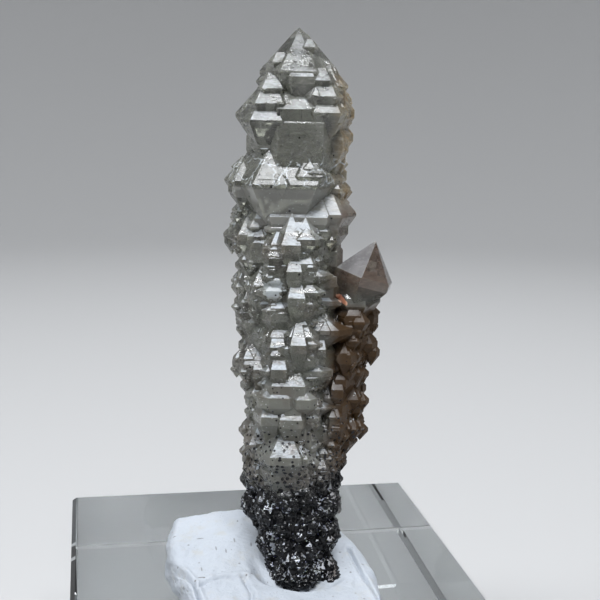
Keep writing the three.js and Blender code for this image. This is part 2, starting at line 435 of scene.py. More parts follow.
def from_specimen(points):
    """Points in the specimen's own directions, in mm, moved to their place on the block."""
    cos, sin = math.cos(TURN), math.sin(TURN)
    x = cos * points[:, 0] - sin * points[:, 1]
    y = sin * points[:, 0] + cos * points[:, 1]
    return np.stack([x, y, points[:, 2]], 1) * MM + FOOT


def merged_copy(mesh):
    """A copy of a CAD mesh with its loose triangles joined."""
    copy = mesh.copy()
    work = bmesh.new()
    work.from_mesh(copy)
    bmesh.ops.remove_doubles(work, verts=work.verts, dist=1e-7)
    work.to_mesh(copy)
    work.free()
    return copy


def new_object(name, mesh):
    """A mesh as an object of the scene."""
    piece = bpy.data.objects.new(name, mesh)
    bpy.context.scene.collection.objects.link(piece)
    return piece


def surface_points(mesh, share):
    """Random points over a mesh, with the normal at each, in the specimen's directions.

    A point is a + u(b - a) + v(c - a) in a triangle drawn by its area times the density there.
    """
    corners = np.zeros(len(mesh.vertices) * 3)
    mesh.vertices.foreach_get("co", corners)
    corners = to_specimen(corners.reshape(-1, 3))
    mesh.calc_loop_triangles()
    triangles = np.zeros(len(mesh.loop_triangles) * 3, np.int32)
    mesh.loop_triangles.foreach_get("vertices", triangles)
    a, b, c = corners[triangles.reshape(-1, 3)].transpose(1, 0, 2)
    normals = np.cross(b - a, c - a)
    areas = np.linalg.norm(normals, axis=1) / 2
    normals /= np.maximum(2 * areas, 1e-12)[:, None]
    weights = areas * np.interp((a + b + c)[:, 2] / 3, HEIGHTS, PER_SQUARE_MM) * share
    rng = np.random.default_rng(SEED)
    count = int(weights.sum())
    chosen = rng.choice(len(weights), count, p=weights / weights.sum())
    u, v = rng.random((2, count))
    fold = u + v > 1
    u[fold], v[fold] = 1 - u[fold], 1 - v[fold]
    points = a[chosen] + u[:, None] * (b - a)[chosen] + v[:, None] * (c - a)[chosen]
    return points, normals[chosen]


def is_smooth(points, margin=0):
    """True where no small head may stand: smooth faces, the ledges' caps and the side crystal."""
    x, y, z = points.T
    clear = np.zeros(len(points), bool)
    for middle, height, wide, high in SMOOTH_FACES:
        clear |= (y < 0.5) & (abs(x - middle) < wide + margin) & (abs(z - height) < high + margin)
    for middle, height, half, stand in LEDGES:
        above = z - height
        inside = (abs(x - middle) < half + 0.1) & (above > -0.3) & (above < 1.3 * stand)
        clear |= (y < 0.5) & inside
    return clear | on_side_crystal(points)


def on_side_crystal(points):
    """True where a point lies on the crystal that leans out on the right."""
    x, y, z = points.T
    across, behind, reach = SIDE_CRYSTAL
    low, high = SIDE_CRYSTAL_HEIGHTS
    return (np.hypot(x - across, y - behind) < reach) & (z > low) & (z < high)


def turned(points, turns):
    """Points (heads, corners, 3) turned about each head's own vector by its length in radians.

    By Rodrigues: p cos a + (k x p) sin a + k (k . p)(1 - cos a).
    """
    angle = np.linalg.norm(turns, axis=1)[:, None, None]
    axis = turns[:, None, :] / np.maximum(angle, 1e-9)
    along = (points * axis).sum(2, keepdims=True) * axis
    return points * np.cos(angle) + np.cross(axis, points) * np.sin(angle) + along * (1 - np.cos(angle))


def head_corners(centres, wide, deep, upright, steep, turns):
    """Corners of many crystal heads at once: (heads, 14, 3).

    A head is a hexagonal column of the upright's height with a six-sided cap above and a steeper
    one below. Corner k stands at angle 30 + 60 k degrees, and a cap is as high as the face
    distance times the cotangent of its lean. Each head is turned a little about its centre.
    """
    angles = np.radians(30 + 60 * np.arange(6)) - math.pi / 2
    ring = np.stack([np.cos(angles), np.sin(angles)], 1)
    corners = np.zeros((len(centres), 14, 3))
    for first in (1, 7):
        corners[:, first : first + 6, 0] = wide[:, None] * ring[:, 0]
        corners[:, first : first + 6, 1] = deep[:, None] * ring[:, 1]
    face = deep * CORNER
    corners[:, 1:7, 2] = -upright[:, None] / 2
    corners[:, 7:13, 2] = upright[:, None] / 2
    corners[:, 0, 2] = -upright / 2 - face / math.tan(UNDER_LEAN)
    corners[:, 13, 2] = upright / 2 + steep * face / math.tan(CAP_LEAN)
    return turned(corners, turns) + centres[:, None, :]


def head_faces():
    """The faces of one head over its 14 corners."""
    around = [(k, (k + 1) % 6) for k in range(6)]
    below = [(0, 1 + after, 1 + k) for k, after in around]
    sides = [(1 + k, 1 + after, 7 + after, 7 + k) for k, after in around]
    above = [(7 + k, 7 + after, 13) for k, after in around]
    return below + sides + above


# Two heads count as apart when their boxes, grown by this factor, don't meet
CLEARANCE = 1.02


def apart(centres, reach):
    """Groups of heads of which no two in a group touch, as lists of numbers."""
    groups = []
    for i in range(len(centres)):
        for group in groups:
            gap = np.abs(centres[group] - centres[i]) - CLEARANCE * (reach[group] + reach[i])
            if not (gap < 0).all(1).any():
                group.append(i)
                break
        else:
            groups.append([i])
    return groups


def fuse(piece, tool):
    """Fuses the tool's shape to the piece's mesh."""
    modifier = piece.modifiers.new("fuse", "BOOLEAN")
    modifier.operation = "UNION"
    modifier.solver = "MANIFOLD"
    modifier.object = tool
    graph = bpy.context.evaluated_depsgraph_get()
    mesh = bpy.data.meshes.new_from_object(piece.evaluated_get(graph))
    piece.modifiers.clear()
    old = piece.data
    piece.data = mesh
    bpy.data.meshes.remove(old)


def heads_mesh(corners):
    """Separate heads as one mesh."""
    mesh = bpy.data.meshes.new("heads")
    points = from_specimen(corners.reshape(-1, 3))
    starts = np.arange(len(corners))[:, None] * 14
    polygons = []
    for face in head_faces():
        polygons += (starts + np.array(face)).tolist()
    mesh.from_pydata(points, [], polygons)
    return mesh


def keep_largest(mesh):
    """Removes loose crumbs and sealed pockets, so that one closed skin is left."""
    work = bmesh.new()
    work.from_mesh(mesh)
    unseen = set(work.faces)
    skins = []
    while unseen:
        front = [unseen.pop()]
        skin = []
        while front:
            face = front.pop()
            skin.append(face)
            for edge in face.edges:
                for other in edge.link_faces:
                    if other in unseen:
                        unseen.remove(other)
                        front.append(other)
        skins.append(skin)
    skins.sort(key=len)
    loose = [face for skin in skins[:-1] for face in skin]
    bmesh.ops.delete(work, geom=loose, context="FACES")
    work.to_mesh(mesh)
    work.free()


def ledge_corners(mesh):
    """Corners of the ledges on the front: heads whose front face stands out from the surface.

    The surface is found by looking straight back at each ledge's height. A head's middle is its
    face distance behind its front face, which is as wide as half of the head.
    """
    skin = BVHTree.FromPolygons([v.co for v in mesh.vertices], [f.vertices for f in mesh.polygons])
    x, height, half, stand = np.array(LEDGES).T
    starts = from_specimen(np.stack([x, np.full(len(x), -20.0), height], 1))
    back = Vector((-math.sin(TURN), math.cos(TURN), 0))
    hits = np.array([skin.ray_cast(Vector(start), back)[0] for start in starts])
    y = to_specimen(hits)[:, 1] - stand + LEDGE_ROOT * CORNER
    same = np.ones(len(x))
    centres = np.stack([x, y, height - LEDGE_UPRIGHT / 2], 1)
    turns = np.zeros((len(x), 3))
    return head_corners(centres, 2 * half, LEDGE_ROOT * same, LEDGE_UPRIGHT * same, same, turns)


def crust_turns(normals, rng):
    """Turns of the heads in the crust: outwards and askew by chance, half of them only slightly."""
    count = len(normals)
    outward = np.cross([0, 0, 1], normals) * rng.uniform(0.3, 1.2, count)[:, None]
    askew = rng.normal(0, 0.35, (count, 3))
    return (outward + askew) * np.where(rng.random(count) < 0.5, 0.15, 1)[:, None]


def small_heads(mesh, look):
    """Corners of the small heads over the column, and groups of them that stand apart.

    Above the crust they are parallel to the column. In the crust they are finer, and half of
    them are turned outwards at random. The largest come first.
    """
    points, normals = surface_points(mesh, look.heads)
    rng = np.random.default_rng(SEED + 1)
    height = points[:, 2]
    keep = ~is_smooth(points) & (height > 0) & (normals[:, 2] > -0.75)
    thinned = (np.abs(normals[:, 1]) >= 0.6) & (height >= THINNED_ABOVE)
    keep &= ~thinned | (rng.random(len(points)) < THINNED_TO)
    points, normals, height = points[keep], normals[keep], height[keep]
    count = len(points)
    crust = height + rng.normal(0, 1.5, count) < look.black_top / MM
    low = np.interp(height, HEIGHTS, SMALLEST)
    high = np.interp(height, HEIGHTS, LARGEST)
    deep = low + (high - low) * rng.random(count) ** 2.6
    strip = np.abs(points[:, 0] - STRIP_MIDDLE) < STRIP_HALF
    front = (np.abs(normals[:, 1]) > 0.5) & strip & ~crust
    broad = front & (rng.random(count) < BROAD_SHARE) & ~is_smooth(points, 1.2)
    deep = np.where(broad, rng.uniform(*BROAD_SIZES, count), deep)
    stretch = np.where(broad, rng.uniform(*BROAD_STRETCH, count), rng.uniform(*FRONT_STRETCH, count))
    stretch = np.where(height > EVEN_ABOVE, 1, stretch)
    wide = deep * np.where(front, stretch, rng.uniform(*OTHER_STRETCH, count))
    uprights = np.where(front, rng.uniform(*FRONT_UPRIGHT, count), rng.uniform(*OTHER_UPRIGHT, count))
    upright = deep * np.where(height > LOW_ABOVE, LOW_UPRIGHT, uprights)
    steep = rng.uniform(*CAP_STEEPNESS, count)
    turns = np.where(crust[:, None], crust_turns(normals, rng), rng.normal(0, 0.03, (count, 3)))
    undercut = (normals[:, 2] < -0.2) & (height < UNDERCUTS_BELOW)
    sunk = np.where(crust, 0.3, np.where(undercut, look.sunk - 0.3, look.sunk))
    sunk = np.where(broad, look.sunk - 0.35, np.where(front, look.sunk - 0.1, sunk))
    outward = normals * np.where(crust[:, None], 1, (1, 1, 0.4))
    centres = points - outward * (deep * sunk)[:, None]
    centres[:, 2] -= np.where(crust, 0, upright / 2)
    order = np.argsort(-wide)
    corners = head_corners(centres, wide, deep, upright, steep, turns)[order]
    corners = np.concatenate([ledge_corners(mesh), corners])
    low_corner, high_corner = corners.min(1), corners.max(1)
    return corners, apart((low_corner + high_corner) / 2, (high_corner - low_corner) / 2)


def mark_faces(mesh):
    """Stores two numbers on each face for the material to read.

    Frost is 1 on every other cap face from the front round, 0.2 on those between, and 1 on the
    left faces of the side crystal: 0.6 + 0.4 cos 3a, where a is the turn from the front. It marks
    etching and also painted highlight: the up-facing caps and those left faces are painted pale.
    Tone is a random number that faces in one plane share: the fraction of a large sine of the
    plane's direction and distance, both rounded.
    """
    normals = np.zeros(len(mesh.polygons) * 3)
    centres = np.zeros(len(mesh.polygons) * 3)
    mesh.polygons.foreach_get("normal", normals)
    mesh.polygons.foreach_get("center", centres)
    normals, centres = normals.reshape(-1, 3), centres.reshape(-1, 3)
    angle = np.arctan2(normals[:, 1], normals[:, 0]) - TURN + math.pi / 2
    # Painted highlight as well as etching: up-facing cap faces, every other one most, will be painted
    # pale
    frost = smooth_step(normals[:, 2], 0.45, 0.58) * (0.6 + 0.4 * np.cos(3 * angle))
    leaning = on_side_crystal(to_specimen(centres))
    # Painted highlight: the left faces of the side crystal are painted pale
    frost = np.where(leaning, (normals[:, 0] < -0.15) & (normals[:, 2] > 0.3), frost)
    distance = (normals * centres).sum(1) / MM
    phase = np.round(normals, 2) @ (12.99, 78.23, 37.72) + np.round(distance, 1) * 17.13
    tone = np.modf(np.abs(np.sin(phase)) * 4375.85)[0]
    for name, values in (("frost", frost), ("tone", tone)):
        stored = mesh.attributes.new(name, "FLOAT", "FACE")
        stored.data.foreach_set("value", np.ascontiguousarray(values, np.float32))


class SPECIMEN_OT_quartz(bpy.types.Operator):
    """Builds the crystal: the main heads with small heads fused over them"""

    bl_idname = "specimen.quartz"
    bl_label = "Quartz crystal"

    def execute(self, context):
        look = context.scene.quartz_look
        quartz = new_object("quartz_crystal", merged_copy(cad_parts["quartz"].data))
        plain = len(quartz.data.polygons)
        corners, groups = small_heads(quartz.data, look)
        for group in groups:
            tool = new_object("heads", heads_mesh(corners[group]))
            fuse(quartz, tool)
            bpy.data.objects.remove(tool)
        if len(quartz.data.polygons) < 2 * plain:
            raise RuntimeError("The small heads didn't fuse with the column")
        keep_largest(quartz.data)
        mark_faces(quartz.data)
        quartz.data.shade_flat()
        quartz.data.materials.clear()
        quartz.data.materials.append(quartz_surface(look))
        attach(quartz, "root")
        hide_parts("quartz")
        return {"FINISHED"}


# Colours of the crystal that its settings leave alone
PALE_CLOUD = (0.22, 0.22, 0.195)
FOOT_CLOUD = (0.19, 0.19, 0.165)
SMOKE = (0.135, 0.108, 0.088)
WIDE_FACE = (0.21, 0.208, 0.19)
SIDE_CRYSTAL_BROWN = (0.12, 0.088, 0.07)
CRACK_WHITE = (0.45, 0.48, 0.5)
PATCH_WHITE = (0.33, 0.36, 0.37)
PAINTED_COPPER_GLINT = (0.8, 0.4, 0.26)
STAINED_GLASS = (0.62, 0.4, 0.16)
DUSK_CLOUD = (0.045, 0.045, 0.042)
DUSK_GLASS = (0.3, 0.3, 0.28)
PAINTED_GLINT = (0.75, 0.79, 0.86)
DEPTH_TINT = (0.52, 0.54, 0.48)
DEPTH_DENSITY = 220
QUARTZ_IOR = 1.544


class QuartzPlaces:
    """Where things lie in the crystal: its own directions in mm, and shares from 0 to 1."""

    def __init__(self, s):
        inputs = {"Vector": s.place, "Location": tuple(FOOT), "Rotation": (0, 0, TURN)}
        inputs["Scale"] = (MM, MM, MM)
        self.place = s.node("ShaderNodeMapping", {"vector_type": "TEXTURE"}, inputs)
        self.right, self.behind, self.height = s.split(self.place)
        self.tone = s.node("ShaderNodeAttribute", {"attribute_name": "tone"}, None, "Fac")
        self.frost = s.node("ShaderNodeAttribute", {"attribute_name": "frost"}, None, "Fac")

        # The crystal that leans out, the widest face, the tier over it and the milky foot
        right, height = self.right, self.height
        self.leaning = right.rise(4, 5) * height.rise(34, 36) * height.rise(48, 46)
        self.face = height.rise(43.8, 44.4) * height.rise(49.4, 49) * (self.behind < -2.5)
        self.belt = height.rise(49.2, 49.8) * height.rise(53, 52)
        self.foot = height.rise(9, 15) * height.rise(32, 24)

        # The right side, with a wavy edge
        drift = s.noise(self.place, 0.3, 3, 0.5)
        self.side = (right + 2.4 * (drift - 0.5)).rise(2.4, 5.4) * (1 - self.leaning)


def front_marks(s, q):
    """A milky patch on the front, and a painted coppery reflection in a crack."""
    across, up = q.right + 3.1, q.height - 37.6
    edge = 6 * s.noise(q.place, 0.9, 4, 0.7) - 2.4
    patch = (across * across + up * up + edge).rise(2.2, 1.7) * (q.behind < 0)
    # Painted reflection: a coppery glint in a crack, put in as colour
    across, up = q.right - 4.9, q.height - 36
    slant = 0.9 * up + across
    ragged = slant * slant * 5 + up * up * 1.8 + s.noise(q.place, 2, 2)
    return patch, ragged.rise(1.4, 1.2) * (q.behind < 0)


def inner_marks(s, q):
    """Milky veils, white points, and healed cracks that crowd in the tier over the widest face."""
    veil = s.noise(q.place, 0.35, 5, 0.62, (1, 1, 0.6))
    wisps = s.noise(q.place, 1.6, 4, 0.6, (1, 1, 2.2))
    milk = veil.rise(0.38, 0.7) * 0.3 + wisps.rise(0.45, 0.75) * 0.3 + 0.15 * q.tone + 0.15
    sparks = (s.cells(q.place, 2.6) < 0.13) * veil.rise(0.45, 0.55) * q.height.rise(62, 45)
    sparks = sparks * q.right.rise(4, 2)
    warp = s.node("ShaderNodeTexNoise", None, {"Vector": q.place, "Scale": 0.8, "Detail": 2}, 1)
    bent = s.node("ShaderNodeVectorMath", {"operation": "ADD"}, {0: q.place, 1: warp})
    cracks = s.cells(bent, 0.4, "DISTANCE_TO_EDGE").rise(0.035, 0.01)
    cracks = cracks * (0.06 + 0.94 * q.belt) * wisps.rise(0.4, 0.48) * (1 - q.leaning)
    return milk, sparks, cracks


def frosting_and_highlight(s, q):
    """Streaks, and the etching and painted highlight on the caps: streaky on the columns, even on the
    crystal that leans out.
    """
    streaks = s.noise(q.place, 0.6, 5, 0.7, (0.6, 0.6, 1.8)).rise(0.36, 0.6)
    patchy = streaks * (0.55 + 0.45 * q.tone) * (1 - 0.75 * q.belt) * (1 - 0.85 * q.side)
    patchy = patchy * (1 - 0.5 * q.height.rise(54, 58))
    return streaks, q.frost * (patchy * (1 - q.leaning) + 0.35 * q.leaning)


def dark_marks(s, q, look):
    """The black crust, the painted glints on it, and all that is black: crust and specks less the
    painted glints.
    """
    top = look.black_top / MM
    ragged = q.height + 5.5 * (s.noise(q.place, 0.5, 4, 0.65) - 0.5) - 0.25 * q.right
    crust = ragged.rise(top + 1.2, top - 1.6)
    specks = s.cells(q.place, 1.5) < (0.6 - 0.0175 * q.height).most(0)
    fine_specks = s.cells(q.place, 3.1) < (0.9 - 0.045 * q.height).most(0)
    rare_specks = (s.cells(q.place, 0.62) < 0.08) * (1 - q.leaning)
    # Painted glints: front-facing caps and a few other faces of the crust are painted pale
    bright = ((q.frost > 0.8) * (q.tone > 0.3)).most(q.tone > 0.92)
    painted_glint = bright * crust * (s.noise(q.place, 2.6, 2) > 0.48)
    dark = crust.most(specks).most(fine_specks).most(rare_specks) * (1 - painted_glint)
    return crust, painted_glint, dark


def quartz_relief(s, q, frosted_and_highlighted, crust):
    """Faces bow a little, growth lines run level across them, and etched caps, also painted pale as
    highlight, are pitted.
    """
    bow = 0.06 * s.noise(q.place, 0.4, 1)
    facets = 0.12 * s.cells(q.place, 2.5)
    pits = 0.05 * s.noise(q.place, 5, 3, 0.6)
    lines = 0.006 * s.noise(q.place, 1, 2, 0.5, (0.35, 0.35, 9))
    coarse = q.height.rise(46, 40) * (0.03 + 0.04 * q.foot) * (1 - q.leaning) * (1 - 0.7 * q.side)
    grain = coarse * s.noise(q.place, 3, 3, 0.6)
    return s.bump(bow + frosted_and_highlighted * pits + lines + grain + crust * facets, 1, MM)


def quartz_surface(look):
    """Clear and milky quartz, stained brown and painted darker on the right, under a black crust at the
    foot, with painted highlights and glints.
    """
    s = Surface("quartz")
    q = QuartzPlaces(s)
    patch, painted_copper_glint = front_marks(s, q)
    milk, sparks, cracks = inner_marks(s, q)
    # Painted highlight: up-facing caps turn pale over their etching
    streaks, frosted_and_highlighted = frosting_and_highlight(s, q)
    crust, painted_glint, dark = dark_marks(s, q, look)

    # Brown staining and painted shade on the right: patchy near the top, nearly even on the shorter
    # column
    low = q.height.rise(44, 38)
    stain_and_shade = q.side * (0.3 + 0.7 * s.noise(q.place, 0.9, 4, 0.6).rise(0.35, 0.65))
    stain_and_shade = stain_and_shade.most(0.85 * q.side * low)
    rust_and_shade = s.blend(q.height.rise(42, 50), look.iron_and_shade, look.amber)

    milk = milk + cracks + sparks + patch + painted_copper_glint + 0.6 * frosted_and_highlighted + 0.25 * q.leaning
    milk = (milk + q.side * (0.4 + 0.5 * low)).least(0.97)
    milk = milk.most(0.65 * q.foot).most(0.85 * q.face)

    smoke = s.noise(q.place, 0.22, 2).rise(0.45, 0.62) * q.height.rise(52, 44)
    dusk = 0.3 * q.height.rise(20, 12)
    cloud = look.cloud
    for share, colour in (
        (q.tone, PALE_CLOUD),
        (0.6 * q.foot, FOOT_CLOUD),
        (0.6 * smoke, SMOKE),
        (q.face.most(0.5 * q.height.rise(50, 55)), WIDE_FACE),
        # Brown staining and painted shade on the right
        (stain_and_shade, rust_and_shade),
        (q.leaning * q.height.rise(35.5, 38.5), SIDE_CRYSTAL_BROWN),
        # Painted highlight on the caps, over their etching
        (frosted_and_highlighted, look.frost),
        ((cracks + sparks).least(1), CRACK_WHITE),
        (patch * (0.6 + 0.4 * streaks), PATCH_WHITE),
        # Painted coppery reflection in a crack
        (painted_copper_glint, PAINTED_COPPER_GLINT),
        (dusk, DUSK_CLOUD),
        # Painted glints on the crust
        (painted_glint, PAINTED_GLINT),
    ):
        cloud = s.blend(share, cloud, colour)
    glass = s.blend(stain_and_shade, look.glass, STAINED_GLASS)
    glass = s.blend(dusk, glass, DUSK_GLASS)

    relief = quartz_relief(s, q, frosted_and_highlighted, crust)
    haze = s.noise(q.place, 1.1, 4, 0.7).rise(0.4, 0.7)
    rough = 0.05 + 0.1 * haze + 0.2 * frosted_and_highlighted + 0.12 * q.side + 0.15 * q.belt
    clear = s.body(
        Base_Color=glass,
        Roughness=rough,
        IOR=QUARTZ_IOR,
        Transmission_Weight=1.0,
        Normal=relief,
    )
    milky = s.body(
        Base_Color=cloud,
        Roughness=0.08 + rough,
        IOR=QUARTZ_IOR,
        Subsurface_Weight=0.8,
        Subsurface_Radius=(1.2, 1.2, 1.0),
        Subsurface_Scale=2 * MM,
        Normal=relief,
    )
    black = s.body(
        Base_Color=look.black,
        Roughness=0.05 + 0.5 * rough,
        IOR=1.36,
        Normal=relief,
    )
    brown = s.body(Base_Color=rust_and_shade, Roughness=0.3 + rough, IOR=1.25, Normal=relief)
    # Painted shade: the shorter column on the right gets a dark brown coat of low gloss
    stain_and_shade_coat = 0.85 * q.side * q.height.rise(42, 34)
    quartz = s.mix(stain_and_shade_coat, s.mix(milk, clear, milky), brown)
    return s.finish(s.mix(dark, quartz, black), s.absorption(DEPTH_TINT, DEPTH_DENSITY))


# The putty lump, in the specimen's own directions and mm, as its CAD solid has it
PUTTY_FRONT = {"y": -11.5, "left": -13, "right": 12.4, "left_top": 0.6, "right_top": -0.3}
PUTTY_BACK = {"y": 8.5, "left": -18, "right": 7.6, "left_top": 5.2, "right_top": 3.2}
PUTTY_CROWN = 1.6
PUTTY_CORNERS = 0.4
PUTTY_WAVE = 0.02
PUTTY_RINGS = 190
PUTTY_SPOKES = 460
PUTTY_SHOULDER = 0.1
PUTTY_DROP = 0.45

# Where the top, the turn of its edge and the side end, as shares of the way to the base's middle
PUTTY_ENDS = (0.55, 0.75, 0.9)

# Creases pressed in the putty: points along each in plan, depth and half width, in mm
CREASES = (
    (((-17.5, -1.0), (-14.3, -3.4), (-12.2, -6.6), (-10.8, -10.8)), 0.6, 0.2),
    (((-11.6, -7.4), (-10.4, -6.0), (-8.6, -4.9), (-6.2, -4.5)), 0.3, 0.2),
    (((-6.4, -4.6), (-5.2, -7.4), (-4.8, -10.8)), 0.3, 0.24),
    (((6.8, 2.6), (8.2, -2.4), (9.8, -6.6), (11.6, -9.6)), 0.5, 0.22),
    (((-13.5, 3.5), (-9.0, 5.2), (-6.0, 3.5)), 0.12, 0.8),
)

# The lip beside a crease: its height as a share of the depth, its place and its width in half widths
LIP_SHARE = 0.35
LIP_AWAY = 2.6
LIP_WIDE = 1.6

# The hollow under the crystal: its middle and half width and depth in plan, how low it is at the
# front, how fast it rises to the back, and where its rim ends
HOLLOW = {"x": 0.4, "y": 0.2, "wide": 5.3, "deep": 5.6, "front": -0.5, "slope": 0.7, "rim": 1.35}


def ripple(x, y, size, seed):
    """A sum of slanted sine waves, each finer and weaker than the last, between about -1 and 1."""
    rng = np.random.default_rng(seed)
    total = np.zeros_like(x)
    for octave in range(5):
        for _ in range(3):
            angle, phase = rng.uniform(0, 2 * math.pi, 2)
            wave = 2 * math.pi / size * 1.7**octave
            total += np.sin(wave * (x * math.cos(angle) + y * math.sin(angle)) + phase) / 1.7**octave
    return total / 4


def crease_depth(x, y):
    """Depth of the creases: a narrow groove along each line, with the skin raised beside it."""
    depth = np.zeros_like(x)
    for route, deep, wide in CREASES:
        nearest = np.full(x.shape, 1e9)
        for (ax, ay), (bx, by) in zip(route, route[1:]):
            span = (bx - ax) ** 2 + (by - ay) ** 2
            along = np.clip(((x - ax) * (bx - ax) + (y - ay) * (by - ay)) / span, 0, 1)
            gap = np.hypot(x - ax - along * (bx - ax), y - ay - along * (by - ay))
            nearest = np.minimum(nearest, gap)
        depth += deep * np.exp(-((nearest / wide) ** 2))
        beside = (nearest - LIP_AWAY * wide) / (LIP_WIDE * wide)
        depth -= LIP_SHARE * deep * np.exp(-(beside**2))
    return depth


def pressed(top, x, y):
    """The top pushed down under the crystal, blended into the lump over the hollow's rim."""
    gap = np.hypot((x - HOLLOW["x"]) / HOLLOW["wide"], (y - HOLLOW["y"]) / HOLLOW["deep"])
    floor = HOLLOW["front"] + HOLLOW["slope"] * (y - HOLLOW["y"] + HOLLOW["deep"])
    share = 1 - smooth_step(gap, 0.98, HOLLOW["rim"])
    return top + (np.minimum(top, floor) - top) * share


def putty_points():
    """The lump's skin as rings of points from the middle of its top to the middle of its base.

    A ring's radius grows to 1 over the top, turns down round a quarter circle, keeps to the side
    and shrinks to 0 under the base; its plan is between a square and an oval, stretched to the
    sides, and the top's height is read between the four corners with a swell towards the back.
    """
    s = np.linspace(0, 1, PUTTY_RINGS)[:, None]
    swing = np.linspace(0, 2 * math.pi, PUTTY_SPOKES, endpoint=False)[None, :]
    top_end, turn_end, side_end = PUTTY_ENDS
    turn = np.clip((s - top_end) / (turn_end - top_end), 0, 1) * math.pi / 2
    over = s / top_end * (1 - PUTTY_SHOULDER)
    radius = np.where(s < top_end, over, 1 - PUTTY_SHOULDER * (1 - np.sin(turn)))
    radius = np.where(s > side_end, (1 - s) / (1 - side_end), radius)
    shoulder = 1 - PUTTY_DROP * (1 - np.cos(turn))
    side = (1 - PUTTY_DROP) * (side_end - s) / (side_end - turn_end)
    rise = np.clip(np.where(s < turn_end, shoulder, side), 0, 1)
    u, v = np.cos(swing), np.sin(swing)
    square = 1 / np.maximum(np.abs(u), np.abs(v))
    reach = square * (1 - PUTTY_CORNERS) + PUTTY_CORNERS
    reach = np.minimum(reach, 1.3)
    wave = 1 + PUTTY_WAVE * (np.sin(3 * swing + 0.6) + np.sin(5 * swing))
    right = (1 + radius * u * reach * wave) / 2
    back = (1 + radius * v * reach * wave) / 2

    def between(key):
        return PUTTY_FRONT[key] + (PUTTY_BACK[key] - PUTTY_FRONT[key]) * back

    x = between("left") + (between("right") - between("left")) * right
    y = between("y")
    slope = between("left_top") + (between("right_top") - between("left_top")) * right
    top = slope + PUTTY_CROWN * back * (1 - (2 * right - 1) ** 2)
    top = top + 0.35 * ripple(x, y, 14, 3) + 0.06 * ripple(x, y, 3, 4) - crease_depth(x, y)
    top = pressed(top, x, y)
    z = -PUTTY_UNDER / MM + rise * np.maximum(top + PUTTY_UNDER / MM, 0.3)
    bulge = 0.25 * ripple(swing * 6 + 0 * s, z * 1.5, 5, 5) * smooth_step(radius, 0.85, 1) * (rise > 0)
    x = x + bulge * u
    y = y + bulge * v
    return np.stack([x, y, z], 2)


def ring_quads(rings, spokes):
    """Four-sided faces between rings of points, and the numbers of the points and of the next."""
    grid = np.arange(rings * spokes).reshape(rings, spokes)
    after = np.roll(grid, -1, 1)
    quads = np.stack([grid[:-1], grid[1:], after[1:], after[:-1]], 2).reshape(-1, 4)
    return quads, grid, after


def ring_mesh(name, points):
    """Rings of points as a closed skin; the first and last rings shrink to a point."""
    rings, spokes, _ = points.shape
    flat = from_specimen(points[1:-1].reshape(-1, 3))
    poles = from_specimen(points[[0, -1]].mean(1))
    quads, grid, after = ring_quads(rings - 2, spokes)
    first = len(flat)
    top = np.stack([np.full(spokes, first), grid[0], after[0]], 1)
    base = np.stack([np.full(spokes, first + 1), after[-1], grid[-1]], 1)
    mesh = bpy.data.meshes.new(name)
    mesh.from_pydata(np.concatenate([flat, poles]), [], quads.tolist() + top.tolist() + base.tolist())
    return mesh


class SPECIMEN_OT_putty(bpy.types.Operator):
    """Builds the kneaded lump that holds the crystal"""

    bl_idname = "specimen.putty"
    bl_label = "Putty"

    def execute(self, context):
        putty = new_object("putty_lump", ring_mesh("putty_lump", putty_points()))
        putty.data.shade_smooth()
        putty.data.materials.append(putty_surface(context.scene.putty_look))
        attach(putty, "root")
        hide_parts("putty")
        return {"FINISHED"}


# Putty where it is a little bluer, and where it is soiled
PUTTY_BLUE = (0.42, 0.46, 0.52)
PUTTY_SOILED = (0.43, 0.42, 0.38)


def putty_surface(look):
    """Cool white putty with a faint sheen, fine finger lines, scratches and specks."""
    s = Surface("putty")
    place = s.in_mm()
    patches = s.noise(place, 0.25, 4, 0.6)
    tone = s.blend(patches.rise(0.35, 0.7) * 0.35, look.colour, PUTTY_BLUE)
    handled = s.noise(place, 0.3, 3, 0.6).rise(0.42, 0.6)
    tone = s.blend(s.noise(place, 0.45, 4, 0.65).rise(0.5, 0.75) * 0.5, tone, PUTTY_SOILED)
    specks = (s.cells(place, 0.8) < 0.12) * handled
    grit = s.cells(place, 2) < 0.12
    nicks = s.bits(place, 0.7, (0.3, 1.3, 1), 0.5) < 0.1
    scratches = s.bits(place, 0.6, (1.4, 0.22, 1), -0.3) < 0.09
    marks = (specks + grit * handled * 0.5 + nicks * 0.9 + scratches * 0.7).least(1) * 0.75
    colour = s.blend(marks, tone, look.dust)
    skin = s.noise(place, 3, 5, 0.6)
    prints = s.noise(place, 1, 2, 0.5) * s.noise(place, 6, 2, 0.5, (1, 4, 1))
    dents = s.noise(place, 0.8, 4, 0.6) - 0.4 * marks
    relief = s.bump(skin, 0.3, 0.00012)
    relief = s.bump(prints, 0.4, 0.0001, relief)
    relief = s.bump(dents, 0.5, 0.0005, relief)
    surface = s.body(
        Base_Color=colour,
        Roughness=0.5 + 0.2 * patches,
        Subsurface_Weight=0.15,
        Subsurface_Radius=(1, 1, 1.1),
        Subsurface_Scale=0.8 * MM,
        Normal=relief,
    )
    return s.finish(surface)


class SPECIMEN_OT_block(bpy.types.Operator):
    """Finishes the clear block as polished acrylic"""

    bl_idname = "specimen.block"
    bl_label = "Clear block"

    def execute(self, context):
        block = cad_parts["block"]
        block.data.materials.clear()
        block.data.materials.append(block_surface(context.scene.block_look))
        return {"FINISHED"}


